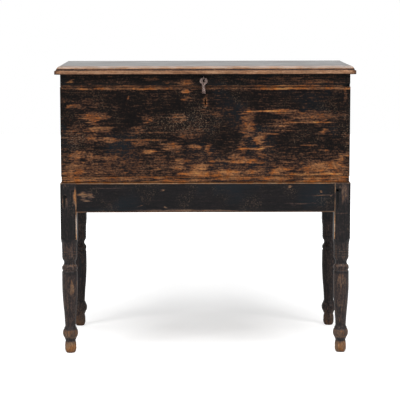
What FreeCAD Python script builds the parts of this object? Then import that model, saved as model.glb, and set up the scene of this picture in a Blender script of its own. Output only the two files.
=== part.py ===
import FreeCAD, Part
import math
import os

# Sugar chest: a dovetailed case with a hinged lid on a pegged stand with four turned legs.
# Millimetres. +X to the right, -Y to the front, +Z up, origin under the middle at the floor.

# Stand
stand_height = 531.0
stand_ledge_side = 3.0
stand_ledge_front = 5.0
post_size = 49.0
post_arris = 1.9
turned_height = 360.0
rail_height = 90.0
rail_thickness = 25.0
rail_setback = 2.0
tenon_length = 22.0
tenon_thickness = 10.0
tenon_shoulder = 7.0
peg_diameter = 7.5
peg_length = 27.0
peg_inset = 9.0
peg_margin = 23.0
peg_clearance = 0.05
nail_hole_diameter = 5.0
nail_hole_depth = 11.0
nail_hole_inset = 14.0
nail_hole_drop = 41.0

# Nails
nail_shank = 2.8
nail_shank_sides = 4
nail_shank_taper_share = 0.55
nail_head = 3.6
nail_head_sides = 8
nail_head_crown_share = 0.6
nail_head_height = 1.2

# Case
case_width = 882.0
case_depth = 448.0
case_height = 274.0
board = 20.0
case_arris = 1.5
case_top_round = 2.0
tail_count = 5
pin_width = 15.0
pin_slope = 5.0
divider_thickness = 16.0
small_bin_width = 265.0
divider_drop = 35.0
dado_depth = 6.0

# Bottom boards nailed under the walls, on battens that drop between the rails
bottom_thickness = 20.0
bottom_inset = 1.2
bottom_upper_round = 2.0
bottom_lower_round = 5.0
bottom_joint_y = 10.0
bottom_nail_count = 6
bottom_nail_length = 45.0
batten_width = 44.0
batten_thickness = 25.0
batten_inset = 164.0
batten_play = 1.0
batten_nail_count = 5
batten_nail_length = 40.0
batten_nail_margin = 30.0

# Lid
lid_overhang_side = 16.0
lid_overhang_front = 29.0
lid_overhang_back = 9.0
lid_thickness = 25.0
lid_gap = 0.5
lid_joint_y = 26.0
lid_corner_radius = 20.0
skirt_height = 37.5
skirt_inset = 1.0
skirt_round = 1.6
chip_width = 10.0
chip_height = 8.0
chip_depth = 7.0
lip_height = 11.0
lip_round = 1.2
cove_width = 6.0
cove_height = 6.5
nosing_step = 1.2
moulding_width = 20.0
side_fade_share = 0.3
lid_nail_length = 44.0
lid_nail_inset = 11.0
lid_long_nail_count = 5
lid_short_nail_count = 2
skirt_nail_length = 42.0
skirt_nail_margin = 10.0

# Butt hinges
hinge_length = 76.0
hinge_inset = 113.0
leaf_thickness = 2.0
leaf_margin = 2.0
knuckle_radius = 4.0
knuckle_back = 0.4
knuckle_count = 5
knuckle_side_gap = 0.3
hinge_pin_radius = 2.0
hinge_pin_clearance = 0.05
hinge_pin_head = 1.5
screw_shank = 1.8
screw_head = 3.6
screw_head_height = 1.9
hinge_screw_length = 17.0
hinge_screw_spacing = 27.0

# Half-mortise lock with a loop on the lid
lock_width = 84.0
lock_height = 70.0
lock_depth = 14.0
lock_sheet = 2.0
lock_cap_sheet = 1.0
lock_body_width = 64.0
lock_body_height = 58.0
lock_rim = 1.5
lock_play = 0.3
bolt_height = 12.0
bolt_drop = 26.0
bolt_length = 28.5
bolt_nose_length = 8.5
bolt_nose_height = 8.0
bolt_nose_thickness = 2.6
bolt_end_x = -28.0
bolt_throw = 10.0
talon_x = -8.0
talon_width = 7.0
talon_depth = 3.0
guide_x = -17.0
guide_width = 5.0
guide_height = 3.0
spring_thickness = 0.8
spring_width = 6.0
spring_rise = 7.0
spring_reach = 24.0
key_drop = 39.0
key_pin_radius = 1.5
key_pin_length = 9.0
keyhole_round = 3.0
keyhole_slot = 4.8
keyhole_length = 15.0
lock_screw_margin = 6.0
lock_screw_length = 10.0
lock_screw_shank = 1.3
lock_screw_head = 2.6
lock_screw_head_height = 1.2
keeper_left = -20.0
keeper_right = 44.0
keeper_width = 12.0
keeper_screw_margin = 6.0
keeper_screw_length = 15.0
loop_x = 11.5
loop_wire = 3.0
loop_width = 8.0
loop_wall = 2.0
loop_drop = 28.5
loop_foot = 2.5
loop_slot_play = 1.4

# Hasp and the staple that it swings on
hasp_x = -5.0
hasp_thickness = 2.6
hasp_gap = 1.0
hasp_bar = 2.6
hasp_bar_drop = 12.0
eye_width = 25.0
eye_height = 20.0
eye_slot_width = 6.0
eye_slot_height = 11.5
shank_top_width = 12.0
shank_waist_width = 9.0
shank_end_width = 10.5
shank_length = 30.0
curl_radius = 3.4
curl_length = 11.0
staple_wire = 1.3
staple_bend = 3.7
staple_seat = 0.6
staple_leg = 17.0

# How far a cut runs past what it cuts
overrun = 1.0

# Places worked out from the sizes
case_half = case_width / 2
lid_depth = case_depth + lid_overhang_front + lid_overhang_back
lid_half = case_half + lid_overhang_side
lid_front_y = -lid_depth / 2
lid_back_y = lid_depth / 2
case_front_y = lid_front_y + lid_overhang_front
case_back_y = lid_back_y - lid_overhang_back
stand_half = case_half + stand_ledge_side
stand_front_y = case_front_y - stand_ledge_front
stand_back_y = case_back_y + stand_ledge_front
post_half = post_size / 2
leg_x = stand_half - post_half
leg_y_front = stand_front_y + post_half
leg_y_back = stand_back_y - post_half
rail_bottom = stand_height - rail_height
case_foot = stand_height + bottom_thickness
case_top = case_foot + case_height
inner_front_y = case_front_y + board
inner_back_y = case_back_y - board
inner_half = case_half - board
skirt_bottom = case_top + lid_gap
skirt_top = skirt_bottom + skirt_height
lid_top = skirt_top + lid_thickness
skirt_half = case_half - skirt_inset
skirt_front_y = case_front_y + skirt_inset
skirt_back_y = case_back_y - skirt_inset
hinge_y = case_back_y + knuckle_back + knuckle_radius
hinge_z = case_top + lid_gap / 2
hinge_x = case_half - hinge_inset - hinge_length / 2
batten_x = case_half - batten_inset - batten_width / 2


def block(xs, ys, zs):
    """A box from pairs of limits along X, Y and Z."""
    corner = FreeCAD.Vector(min(xs), min(ys), min(zs))
    return Part.makeBox(abs(xs[1] - xs[0]), abs(ys[1] - ys[0]), abs(zs[1] - zs[0]), corner)


def rod(start, direction, length, radius):
    """A round bar from a start point along a direction."""
    return Part.makeCylinder(radius, length, FreeCAD.Vector(*start), FreeCAD.Vector(*direction))


def prism(points, sweep):
    """A closed outline of points, extruded along a vector."""
    corners = [FreeCAD.Vector(*point) for point in points]
    outline = Part.makePolygon(corners + corners[:1])
    return Part.Face(outline).extrude(FreeCAD.Vector(*sweep))


def even_polygon(middle, aim, radius, sides):
    """A closed outline with equal sides, square to the aim."""
    across = FreeCAD.Vector(aim.y, aim.z, aim.x)
    up = aim.cross(across)
    corners = []
    for index in range(sides):
        turn = 2 * math.pi * (index + 1 / 2) / sides
        corners.append(middle + across * (radius * math.cos(turn)) + up * (radius * math.sin(turn)))
    return Part.makePolygon(corners + corners[:1])


def nail(seat, direction, length):
    """A cut nail with a square tapered shank and a hammered head that lies on the surface."""
    aim = FreeCAD.Vector(*direction)
    point = FreeCAD.Vector(*seat)
    crown = point - aim * nail_head_height
    head_outlines = [
        even_polygon(point, aim, nail_head, nail_head_sides),
        even_polygon(crown, aim, nail_head * nail_head_crown_share, nail_head_sides),
    ]
    half_diagonal = nail_shank / 2 / math.cos(math.pi / nail_shank_sides)
    shank_outlines = [
        even_polygon(point, aim, half_diagonal, nail_shank_sides),
        even_polygon(point + aim * length, aim, half_diagonal * nail_shank_taper_share, nail_shank_sides),
    ]
    head = Part.makeLoft(head_outlines, True, True)
    return head.fuse(Part.makeLoft(shank_outlines, True, True))


def screw(seat, direction, length, shank, head, head_height):
    """A flat-head screw whose head is flush with the surface at the point."""
    aim = FreeCAD.Vector(*direction)
    point = FreeCAD.Vector(*seat)
    cone = Part.makeCone(head, shank, head_height, point, aim)
    return cone.fuse(Part.makeCylinder(shank, length, point, aim))


def group(shapes):
    """Loose identical pieces that share one node."""
    return Part.makeCompound(shapes)


def spread(low, high, count):
    """Evenly spaced places from low to high, both included."""
    return [low + (high - low) * index / (count - 1) for index in range(count)]


nodes = {}

# Leg: the turning as shares of its height and of half the post, from the foot up
foot_shares = [(0.0, 0.52), (0.016, 0.655), (0.050, 0.715), (0.083, 0.700), (0.108, 0.625)]
ankle_fillet_shares = [(0.116, 0.690), (0.130, 0.755)]
ankle_ring_shares = [(0.134, 0.790), (0.174, 0.965), (0.205, 0.850)]
upper_fillet_shares = [(0.209, 0.805), (0.220, 0.770)]
neck_shares = [(0.228, 0.700), (0.248, 0.672), (0.285, 0.700)]
vase_shares = [(0.358, 0.77), (0.430, 0.868), (0.495, 0.93), (0.565, 0.975), (0.632, 0.98), (0.705, 0.97)]
groove_shares = [(0.716, 0.900), (0.722, 0.900)]
collar_shares = [(0.727, 0.950), (0.741, 0.980), (0.757, 0.930)]
cove_shares = [(0.763, 0.850), (0.786, 0.715), (0.811, 0.850)]
drum_foot_shares = [(0.820, 0.920), (0.838, 0.955)]
shoulder_shares = [(0.925, 0.965), (0.966, 1.030), (0.990, 1.200), (1.000, 1.480)]
ring_groove_shares = [0.850, 0.872, 0.894]
ring_groove_half_share = 0.004
ring_groove_depth_share = 0.035


def lathe_point(pair):
    """A share of the turned height and of half the post, as a point of the turning's outline."""
    return FreeCAD.Vector(pair[1] * post_half, 0, pair[0] * turned_height)


def arc(shares):
    """A round bead or hollow through three points."""
    first, middle, last = [lathe_point(pair) for pair in shares]
    return Part.Arc(first, middle, last).toShape()


def lines(shares):
    """Short straight runs, one after another."""
    points = [lathe_point(pair) for pair in shares]
    return [Part.makeLine(points[i], points[i + 1]) for i in range(len(points) - 1)]


def turning():
    """The lathe-turned outline from the foot to the shoulder, revolved, and wide above it."""
    base = FreeCAD.Vector(0, 0, 0)
    edges = [Part.makeLine(base, lathe_point(foot_shares[0]))]
    edges += [arc(foot_shares[:3]), arc(foot_shares[2:])]
    edges += lines([foot_shares[-1]] + ankle_fillet_shares + ankle_ring_shares[:1])
    edges += [arc(ankle_ring_shares)]
    edges += lines([ankle_ring_shares[-1]] + upper_fillet_shares)
    edges += [arc([upper_fillet_shares[-1], neck_shares[0], neck_shares[1]])]
    edges += [arc([neck_shares[1], neck_shares[2], vase_shares[0]])]
    edges += [arc(vase_shares[:3]), arc(vase_shares[2:5])]
    edges += lines(vase_shares[4:] + groove_shares + collar_shares[:1])
    edges += [arc(collar_shares)]
    edges += lines([collar_shares[-1], cove_shares[0]])
    edges += [arc(cove_shares)]
    edges += lines([cove_shares[-1]] + drum_foot_shares)
    drum = [drum_foot_shares[-1]]
    for share in ring_groove_shares:
        radius_share = drum_foot_shares[-1][1]
        drum.append((share - ring_groove_half_share, radius_share))
        drum.append((share, radius_share - ring_groove_depth_share))
        drum.append((share + ring_groove_half_share, radius_share))
    edges += lines(drum + shoulder_shares[:1])
    edges += [arc(shoulder_shares[:3])] + lines(shoulder_shares[2:])
    rim = lathe_point(shoulder_shares[-1])
    top = FreeCAD.Vector(rim.x, 0, stand_height)
    axis_top = FreeCAD.Vector(0, 0, stand_height)
    edges += [Part.makeLine(rim, top), Part.makeLine(top, axis_top), Part.makeLine(axis_top, base)]
    profile = Part.Face(Part.Wire(edges))
    return profile.revolve(base, FreeCAD.Vector(0, 0, 1), 360)


square = block((-post_half, post_half), (-post_half, post_half), (0, stand_height))
long_edges = [edge for edge in square.Edges if abs(edge.Length - stand_height) < overrun]
square = square.makeChamfer(post_arris, long_edges)
blank = turning().common(square)

# Rails: shoulders stand against the posts, tenons go in
rail_front = stand_front_y + rail_setback
rail_span_x = stand_half - post_size
rail_span_front = stand_front_y + post_size
rail_span_back = stand_back_y - post_size
tenon_low = rail_bottom + tenon_shoulder
tenon_high = stand_height - tenon_shoulder
tenon_skin = (rail_thickness - tenon_thickness) / 2


def long_rail(face_y, inward):
    """A front or back rail along X with a tenon at each end."""
    thick = (face_y, face_y + inward * rail_thickness)
    body = block((-rail_span_x, rail_span_x), thick, (rail_bottom, stand_height))
    near = face_y + inward * tenon_skin
    reach = rail_span_x + tenon_length
    tenons = block((-reach, reach), (near, near + inward * tenon_thickness), (tenon_low, tenon_high))
    return body.fuse(tenons).removeSplitter()


def short_rail(side):
    """A left or right rail along Y with a tenon at each end."""
    face_x = side * (stand_half - rail_setback)
    thick = (face_x, face_x - side * rail_thickness)
    body = block(thick, (rail_span_front, rail_span_back), (rail_bottom, stand_height))
    near = face_x - side * tenon_skin
    ends = (rail_span_front - tenon_length, rail_span_back + tenon_length)
    tenons = block((near, near - side * tenon_thickness), ends, (tenon_low, tenon_high))
    return body.fuse(tenons).removeSplitter()


front_rail = long_rail(rail_front, 1)
back_rail = long_rail(stand_back_y - rail_setback, -1)
left_rail = short_rail(-1)
right_rail = short_rail(1)

# Draw pegs, two at each tenon. The upper right one at the front has fallen out
peg_heights = (rail_bottom + peg_margin, stand_height - peg_margin)
peg_x = rail_span_x + peg_inset
pegs = []
peg_holes = []
for side in (-1, 1):
    for height in peg_heights:
        places = [
            ((side * peg_x, stand_front_y, height), (0, 1, 0)),
            ((side * peg_x, stand_back_y, height), (0, -1, 0)),
            ((side * stand_half, rail_span_front - peg_inset, height), (-side, 0, 0)),
            ((side * stand_half, rail_span_back + peg_inset, height), (-side, 0, 0)),
        ]
        for number, (start, direction) in enumerate(places):
            peg_holes.append(rod(start, direction, peg_length, peg_diameter / 2 + peg_clearance))
            fallen = number == 0 and side > 0 and height == peg_heights[1]
            if not fallen:
                pegs.append(rod(start, direction, peg_length, peg_diameter / 2))
nodes["rail_pegs"] = group(pegs)
bored = group(peg_holes)
all_rails = group([front_rail, back_rail, left_rail, right_rail])
nail_hole_z = stand_height - nail_hole_drop
nail_hole_start = (nail_hole_inset - stand_half, stand_front_y, nail_hole_z)
nail_hole = rod(nail_hole_start, (0, 1, 0), nail_hole_depth, nail_hole_diameter / 2)
for side, side_name in ((-1, "left"), (1, "right")):
    for leg_y, end_name in ((leg_y_front, "front"), (leg_y_back, "back")):
        leg = blank.copy()
        leg.translate(FreeCAD.Vector(side * leg_x, leg_y, 0))
        leg = leg.cut(all_rails).cut(bored).cut(nail_hole)
        nodes[end_name + "_" + side_name + "_leg"] = leg
nodes["front_rail"] = front_rail.cut(bored)
nodes["back_rail"] = back_rail.cut(bored)
nodes["left_rail"] = left_rail.cut(bored)
nodes["right_rail"] = right_rail.cut(bored)

# Case: the front and back boards carry the tails, the side boards the pins
pin_half = pin_width / 2
pin_tip_half = pin_half - pin_slope / 2


def pins(side, ys):
    """The pins of one corner, wide at the inside and narrow at the outer face, half pins at the ends."""
    inner_x = side * inner_half
    outer_x = side * case_half
    sweep = (0, ys[1] - ys[0], 0)
    shapes = []
    for place in spread(case_foot, case_top, tail_count + 1):
        low_wide = max(place - pin_half, case_foot)
        high_wide = min(place + pin_half, case_top)
        low_tip = max(place - pin_tip_half, case_foot)
        high_tip = min(place + pin_tip_half, case_top)
        corners = [
            (inner_x, ys[0], low_wide),
            (outer_x, ys[0], low_tip),
            (outer_x, ys[0], high_tip),
            (inner_x, ys[0], high_wide),
        ]
        shapes.append(prism(corners, sweep))
    return shapes


def at_height(shape, z):
    """The level edges of a shape at one height."""
    def off(edge):
        return abs(edge.BoundBox.ZMin - z) + abs(edge.BoundBox.ZMax - z)
    return [edge for edge in shape.Edges if off(edge) < overrun]


def ahead_of(edges, y):
    """Those edges that reach no further back than a place along Y."""
    return [edge for edge in edges if edge.BoundBox.YMax < y]


# The outside of the case: corners rubbed round, and the upper edge where the lid comes down
case_form = block((-case_half, case_half), (case_front_y, case_back_y), (case_foot, case_top))
upright_edges = [edge for edge in case_form.Edges if abs(edge.Length - case_height) < overrun]
case_form = case_form.makeFillet(case_arris, upright_edges)
rim_edges = ahead_of(at_height(case_form, case_top), case_back_y)
case_form = case_form.makeFillet(case_top_round, rim_edges)

front_ys = (case_front_y, inner_front_y)
back_ys = (inner_back_y, case_back_y)
front_pins = pins(-1, front_ys) + pins(1, front_ys)
back_pins = pins(-1, back_ys) + pins(1, back_ys)
divider_right = inner_half - small_bin_width
divider_xs = (divider_right - divider_thickness, divider_right)
divider_ys = (inner_front_y - dado_depth, inner_back_y + dado_depth)
divider_top = case_top - divider_drop
divider = block(divider_xs, divider_ys, (case_foot, divider_top))


def tail_board(ys, corner_pins):
    """A front or back board with sockets for the pins."""
    shape = block((-case_half, case_half), ys, (case_foot, case_top)).common(case_form)
    return shape.cut(group(corner_pins)).cut(divider)


def pin_board(side):
    """A side board between the front and back boards, with its pins through both."""
    corner_pins = pins(side, front_ys) + pins(side, back_ys)
    xs = (side * inner_half, side * case_half)
    shape = block(xs, (inner_front_y, inner_back_y), (case_foot, case_top))
    return shape.multiFuse(corner_pins).removeSplitter().common(case_form)


front_board = tail_board(front_ys, front_pins)
back_board = tail_board(back_ys, back_pins)
left_board = pin_board(-1)
right_board = pin_board(1)

# Bottom: two boards with rubbed edges, nailed up into the walls, their edges in view under the case
bottom_half = case_half - bottom_inset
bottom_ys = (case_front_y + bottom_inset, case_back_y - bottom_inset)
bottom_form = block((-bottom_half, bottom_half), bottom_ys, (stand_height, case_foot))
bottom_form = bottom_form.makeFillet(bottom_upper_round, at_height(bottom_form, case_foot))
bottom_form = bottom_form.makeFillet(bottom_lower_round, at_height(bottom_form, stand_height))
bottom_nail_set = []
wall_mid = case_half - board / 2
for x in spread(board * 2 - wall_mid, wall_mid - board * 2, bottom_nail_count):
    for y in (case_front_y + board / 2, case_back_y - board / 2):
        seat = (x, y, stand_height + nail_head_height)
        bottom_nail_set.append(nail(seat, (0, 0, 1), bottom_nail_length))
for side in (-1, 1):
    for y in (inner_front_y / 2, inner_back_y / 2):
        seat = (side * wall_mid, y, stand_height + nail_head_height)
        bottom_nail_set.append(nail(seat, (0, 0, 1), bottom_nail_length))

# Battens across both bottom boards. They fit between the long rails and keep the case from sliding
batten_front_y = rail_front + rail_thickness + batten_play
batten_back_y = stand_back_y - rail_setback - rail_thickness - batten_play
batten_zs = (stand_height - batten_thickness, stand_height)
batten_nail_set = []
for side, side_name in ((-1, "left"), (1, "right")):
    middle = side * batten_x
    batten_xs = (middle - batten_width / 2, middle + batten_width / 2)
    batten = block(batten_xs, (batten_front_y, batten_back_y), batten_zs)
    driven = []
    nail_ys = (batten_front_y + batten_nail_margin, batten_back_y - batten_nail_margin)
    for y in spread(*nail_ys, batten_nail_count):
        driven.append(nail((middle, y, batten_zs[0]), (0, 0, 1), batten_nail_length))
    batten_nail_set += driven
    nodes[side_name + "_batten"] = batten.cut(group(driven))
bottom_holes = group(bottom_nail_set)
for name, ys in (
    ("bottom_front_board", (bottom_ys[0], bottom_joint_y)),
    ("bottom_back_board", (bottom_joint_y, bottom_ys[1])),
):
    half = bottom_form.common(block((-bottom_half, bottom_half), ys, (stand_height, case_foot)))
    nodes[name] = half.cut(bottom_holes).cut(group(batten_nail_set))
nodes["bottom_nails"] = bottom_holes
nodes["batten_nails"] = group(batten_nail_set)
nodes["case_left_board"] = left_board.cut(bottom_holes)
nodes["case_right_board"] = right_board.cut(bottom_holes)
nodes["bin_divider"] = divider

# Lock in the inner face of the front board, its selvage flush with the top edge
lock_half = lock_width / 2
body_half = lock_body_width / 2
plate_back = inner_front_y - lock_sheet
mortise_y = inner_front_y - lock_depth
body_low = case_top - lock_body_height
key_z = case_top - key_drop
cap_back = mortise_y + lock_cap_sheet
plate_bed = block((-lock_half, lock_half), (plate_back, inner_front_y), (case_top - lock_height, case_top))
selvage_bed = block((-lock_half, lock_half), (mortise_y, inner_front_y), (case_top - lock_sheet, case_top))
mortise = block((-body_half, body_half), (mortise_y, inner_front_y), (body_low, case_top))
key_round = rod((0, case_front_y - overrun, key_z), (0, 1, 0), lock_depth + board, keyhole_round)
key_slot = block(
    (-keyhole_slot / 2, keyhole_slot / 2),
    (case_front_y - overrun, cap_back + overrun),
    (key_z - keyhole_length, key_z),
)
key_reach = block((-lock_half, lock_half), (case_front_y - overrun, cap_back + overrun), (0, lid_top))
key_round = key_round.common(key_reach)
keyhole = key_round.fuse(key_slot)
lock_bed = plate_bed.fuse(selvage_bed).fuse(mortise)

rim_outer = block((-body_half, body_half), (cap_back, plate_back), (body_low, case_top - lock_sheet))
rim_inner = block(
    (lock_rim - body_half, body_half - lock_rim), (cap_back, plate_back), (body_low + lock_rim, case_top)
)
bolt_mid_y = (cap_back + plate_back) / 2
bolt_top = case_top - bolt_drop + bolt_height
bolt_bottom = case_top - bolt_drop
guide_low = block(
    (guide_x, guide_x + guide_width),
    (cap_back + lock_play, plate_back),
    (bolt_bottom - lock_play - guide_height, bolt_bottom - lock_play),
)
slot_half = loop_width / 2 + loop_slot_play
loop_slot = block(
    (loop_x - loop_slot_play, loop_x + loop_wire + loop_slot_play),
    (bolt_mid_y - slot_half, bolt_mid_y + slot_half),
    (case_top - lock_sheet - overrun, case_top + overrun),
)
loop_slot = loop_slot.common(block((-lock_half, lock_half), (cap_back, plate_back), (0, lid_top)))
key_pin = rod((0, plate_back, key_z), (0, -1, 0), key_pin_length, key_pin_radius)
lock_screws = []
for x in (lock_screw_margin - lock_half, lock_half - lock_screw_margin):
    for z in (case_top - lock_height + lock_screw_margin, case_top - lock_sheet - lock_screw_margin):
        seat = (x, inner_front_y, z)
        lock_screws.append(
            screw(
                seat, (0, -1, 0), lock_screw_length,
                lock_screw_shank, lock_screw_head, lock_screw_head_height,
            )
        )
lock_screw_set = group(lock_screws)
lock_plate = plate_bed.fuse(selvage_bed).fuse(rim_outer.cut(rim_inner)).fuse(guide_low).fuse(key_pin)
nodes["lock_plate"] = lock_plate.removeSplitter().cut(loop_slot).cut(lock_screw_set)
lock_cap = block((-body_half, body_half), (mortise_y, cap_back), (body_low, case_top - lock_sheet))
nodes["lock_cap"] = lock_cap.cut(keyhole)
nodes["lock_screws"] = lock_screw_set
nodes["case_front_board"] = front_board.cut(lock_bed).cut(keyhole).cut(lock_screw_set).cut(bottom_holes)

# Bolt: a thick body with a notch for the key and a nose that goes through the loop
bolt_body_front = cap_back + lock_play
bolt_body_back = plate_back - lock_play
bolt_body_end = bolt_end_x + bolt_length
bolt_body = block((bolt_end_x, bolt_body_end), (bolt_body_front, bolt_body_back), (bolt_bottom, bolt_top))
talon = block(
    (talon_x, talon_x + talon_width),
    (bolt_body_front - overrun, bolt_body_back + overrun),
    (bolt_bottom - overrun, bolt_bottom + talon_depth),
)
nose_low = bolt_bottom + (bolt_height - bolt_nose_height) / 2
nose = block(
    (bolt_body_end, bolt_body_end + bolt_nose_length),
    (bolt_mid_y - bolt_nose_thickness / 2, bolt_mid_y + bolt_nose_thickness / 2),
    (nose_low, nose_low + bolt_nose_height),
)
nodes["lock_bolt"] = bolt_body.cut(talon).fuse(nose)

# Spring: a leaf bent from the rim down onto the bolt
spring_foot_x = lock_rim - body_half
spring_low = bolt_top + lock_play
spring_y = bolt_mid_y - spring_width / 2
spring_line = [
    FreeCAD.Vector(spring_foot_x, spring_y, spring_low + spring_rise),
    FreeCAD.Vector(spring_foot_x + spring_reach / 2, spring_y, spring_low + spring_rise / 3),
    FreeCAD.Vector(spring_foot_x + spring_reach, spring_y, spring_low),
]
lift = FreeCAD.Vector(0, 0, spring_thickness)
lower = Part.Arc(*spring_line).toShape()
upper = Part.Arc(*[point + lift for point in spring_line]).toShape()
ends = [Part.makeLine(point, point + lift) for point in (spring_line[0], spring_line[2])]
leaf = Part.Face(Part.Wire([lower, ends[1], upper, ends[0]]))
nodes["lock_spring"] = leaf.extrude(FreeCAD.Vector(0, spring_width, 0))

# Hinges: five knuckles each, three on the case leaf and two on the lid leaf
knuckle_length = hinge_length / knuckle_count


def hinge_leaf(centre_x, on_lid):
    """One leaf, let in flush, with its own knuckles round the pin and cut clear of the others."""
    inner_y = (skirt_back_y if on_lid else case_back_y) - board + leaf_margin
    back_y = case_back_y - knuckle_back
    zs = (skirt_bottom, skirt_bottom + leaf_thickness) if on_lid else (case_top - leaf_thickness, case_top)
    xs = (centre_x - hinge_length / 2, centre_x + hinge_length / 2)
    shapes = [block(xs, (inner_y, back_y), zs)]
    for index in range(knuckle_count):
        if (index % 2 == 1) != on_lid:
            continue
        low = xs[0] + index * knuckle_length
        high = low + knuckle_length
        if index > 0:
            low += knuckle_side_gap / 2
        if index < knuckle_count - 1:
            high -= knuckle_side_gap / 2
        shapes.append(block((low, high), (back_y, hinge_y), zs))
        shapes.append(rod((low, hinge_y, hinge_z), (1, 0, 0), high - low, knuckle_radius))
    solid = shapes[0].multiFuse(shapes[1:]).removeSplitter()
    bore = rod((xs[0] - overrun, hinge_y, hinge_z), (1, 0, 0), hinge_length + 2 * overrun,
               hinge_pin_radius + hinge_pin_clearance)
    return solid.cut(bore)


def hinge_screws(centre_x, on_lid):
    """Three screws through one leaf."""
    inner_y = (skirt_back_y if on_lid else case_back_y) - board + leaf_margin
    seat_y = (inner_y + case_back_y) / 2
    seat_z = skirt_bottom if on_lid else case_top
    aim = (0, 0, 1) if on_lid else (0, 0, -1)
    made = []
    for shift in (-hinge_screw_spacing, 0, hinge_screw_spacing):
        seat = (centre_x + shift, seat_y, seat_z)
        made.append(screw(seat, aim, hinge_screw_length, screw_shank, screw_head, screw_head_height))
    return made


back_board_cuts = []
back_skirt_cuts = []
case_screws = []
lid_screws = []
hinge_pins = []
for side, side_name in ((-1, "left"), (1, "right")):
    centre = side * hinge_x
    case_set = hinge_screws(centre, False)
    lid_set = hinge_screws(centre, True)
    case_leaf = hinge_leaf(centre, False).cut(group(case_set))
    lid_leaf = hinge_leaf(centre, True).cut(group(lid_set))
    nodes[side_name + "_hinge_case_leaf"] = case_leaf
    nodes[side_name + "_hinge_lid_leaf"] = lid_leaf
    case_screws += case_set
    lid_screws += lid_set
    bed_xs = (centre - hinge_length / 2, centre + hinge_length / 2)
    case_bed_y = case_back_y - board + leaf_margin
    lid_bed_y = skirt_back_y - board + leaf_margin
    bed_back = case_back_y + overrun
    case_bed_zs = (case_top - leaf_thickness, case_top + overrun)
    lid_bed_zs = (skirt_bottom - overrun, skirt_bottom + leaf_thickness)
    back_board_cuts.append(block(bed_xs, (case_bed_y, bed_back), case_bed_zs))
    back_skirt_cuts.append(block(bed_xs, (lid_bed_y, bed_back), lid_bed_zs))
    pin_start = (centre - hinge_length / 2 - hinge_pin_head, hinge_y, hinge_z)
    pin = rod(pin_start, (1, 0, 0), hinge_length + 2 * hinge_pin_head, hinge_pin_radius)
    button_length = hinge_pin_head - knuckle_side_gap
    button = rod(pin_start, (1, 0, 0), button_length, hinge_pin_radius + hinge_pin_head / 2)
    hinge_pins.append(pin.fuse(button).removeSplitter())
nodes["hinge_pins"] = group(hinge_pins)
nodes["case_hinge_screws"] = group(case_screws)
nodes["lid_hinge_screws"] = group(lid_screws)
nodes["case_back_board"] = back_board.cut(group(back_board_cuts)).cut(group(case_screws)).cut(bottom_holes)

# Lid skirt: front and back pieces run through, the side pieces stand between them
skirt_zs = (skirt_bottom, skirt_top)
skirt_form = block((-skirt_half, skirt_half), (skirt_front_y, skirt_back_y), skirt_zs)
skirt_edges = ahead_of(at_height(skirt_form, skirt_bottom), skirt_back_y)
skirt_form = skirt_form.makeFillet(skirt_round, [edge for edge in skirt_edges])
chip = block(
    (skirt_half - chip_width, skirt_half + overrun),
    (skirt_front_y - overrun, skirt_front_y + chip_depth),
    (skirt_bottom - overrun, skirt_bottom + chip_height),
)
skirt_inner_front = skirt_front_y + board
skirt_inner_back = skirt_back_y - board
skirt_front = block((-skirt_half, skirt_half), (skirt_front_y, skirt_inner_front), skirt_zs)
skirt_back = block((-skirt_half, skirt_half), (skirt_inner_back, skirt_back_y), skirt_zs)
skirt_left = block((-skirt_half, board - skirt_half), (skirt_inner_front, skirt_inner_back), skirt_zs)
skirt_right = block((skirt_half - board, skirt_half), (skirt_inner_front, skirt_inner_back), skirt_zs)

# Nails of the skirt corners and of the lid boards
skirt_nails = []
for side in (-1, 1):
    nail_x = side * (skirt_half - board / 2)
    for z in (skirt_bottom + skirt_nail_margin, skirt_top - skirt_nail_margin):
        skirt_nails.append(nail((nail_x, skirt_front_y, z), (0, 1, 0), skirt_nail_length))
        skirt_nails.append(nail((nail_x, skirt_back_y, z), (0, -1, 0), skirt_nail_length))
lid_nail_set = []
lid_nail_z = lid_top - nail_head_height
long_reach = skirt_half - board * 2
for x in spread(-long_reach, long_reach, lid_long_nail_count):
    for y in (skirt_front_y + lid_nail_inset, skirt_back_y - lid_nail_inset):
        lid_nail_set.append(nail((x, y, lid_nail_z), (0, 0, -1), lid_nail_length))
short_reach = lid_depth / 5
for side in (-1, 1):
    for y in spread(-short_reach, short_reach, lid_short_nail_count):
        seat = (side * (skirt_half - lid_nail_inset), y, lid_nail_z)
        lid_nail_set.append(nail(seat, (0, 0, -1), lid_nail_length))

# Lid boards: a moulded edge at the front, fading towards the back along the sides
lip_top = skirt_top + lip_height
cove_top = lip_top + cove_height
cove_start = cove_width / 4
arc_share = 0.30


def moulding(outer, inward, share, y):
    """The edge from underside to top: lip, hollow and nosing, as points and arc middles."""
    def at(depth, height):
        return FreeCAD.Vector(outer + inward * depth * share, y, height)
    cove_end = cove_start + cove_width
    nosing_start = cove_end + nosing_step
    nosing_mid = nosing_start + (moulding_width - nosing_start) * arc_share
    nosing_mid_z = lid_top - (lid_top - cove_top) * arc_share
    cove_mid = cove_start + cove_width * (1 - arc_share)
    cove_mid_z = lip_top + cove_height * arc_share
    return [
        Part.makeLine(at(lip_round, skirt_top), at(0, skirt_top + lip_round)),
        Part.makeLine(at(0, skirt_top + lip_round), at(0, lip_top - lip_round)),
        Part.makeLine(at(0, lip_top - lip_round), at(lip_round, lip_top)),
        Part.makeLine(at(lip_round, lip_top), at(cove_start + lip_round, lip_top)),
        Part.Arc(
            at(cove_start + lip_round, lip_top), at(cove_mid, cove_mid_z), at(cove_end, cove_top)
        ).toShape(),
        Part.makeLine(at(cove_end, cove_top), at(nosing_start, cove_top)),
        Part.Arc(
            at(nosing_start, cove_top), at(nosing_mid, nosing_mid_z), at(moulding_width, lid_top)
        ).toShape(),
    ]


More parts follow.
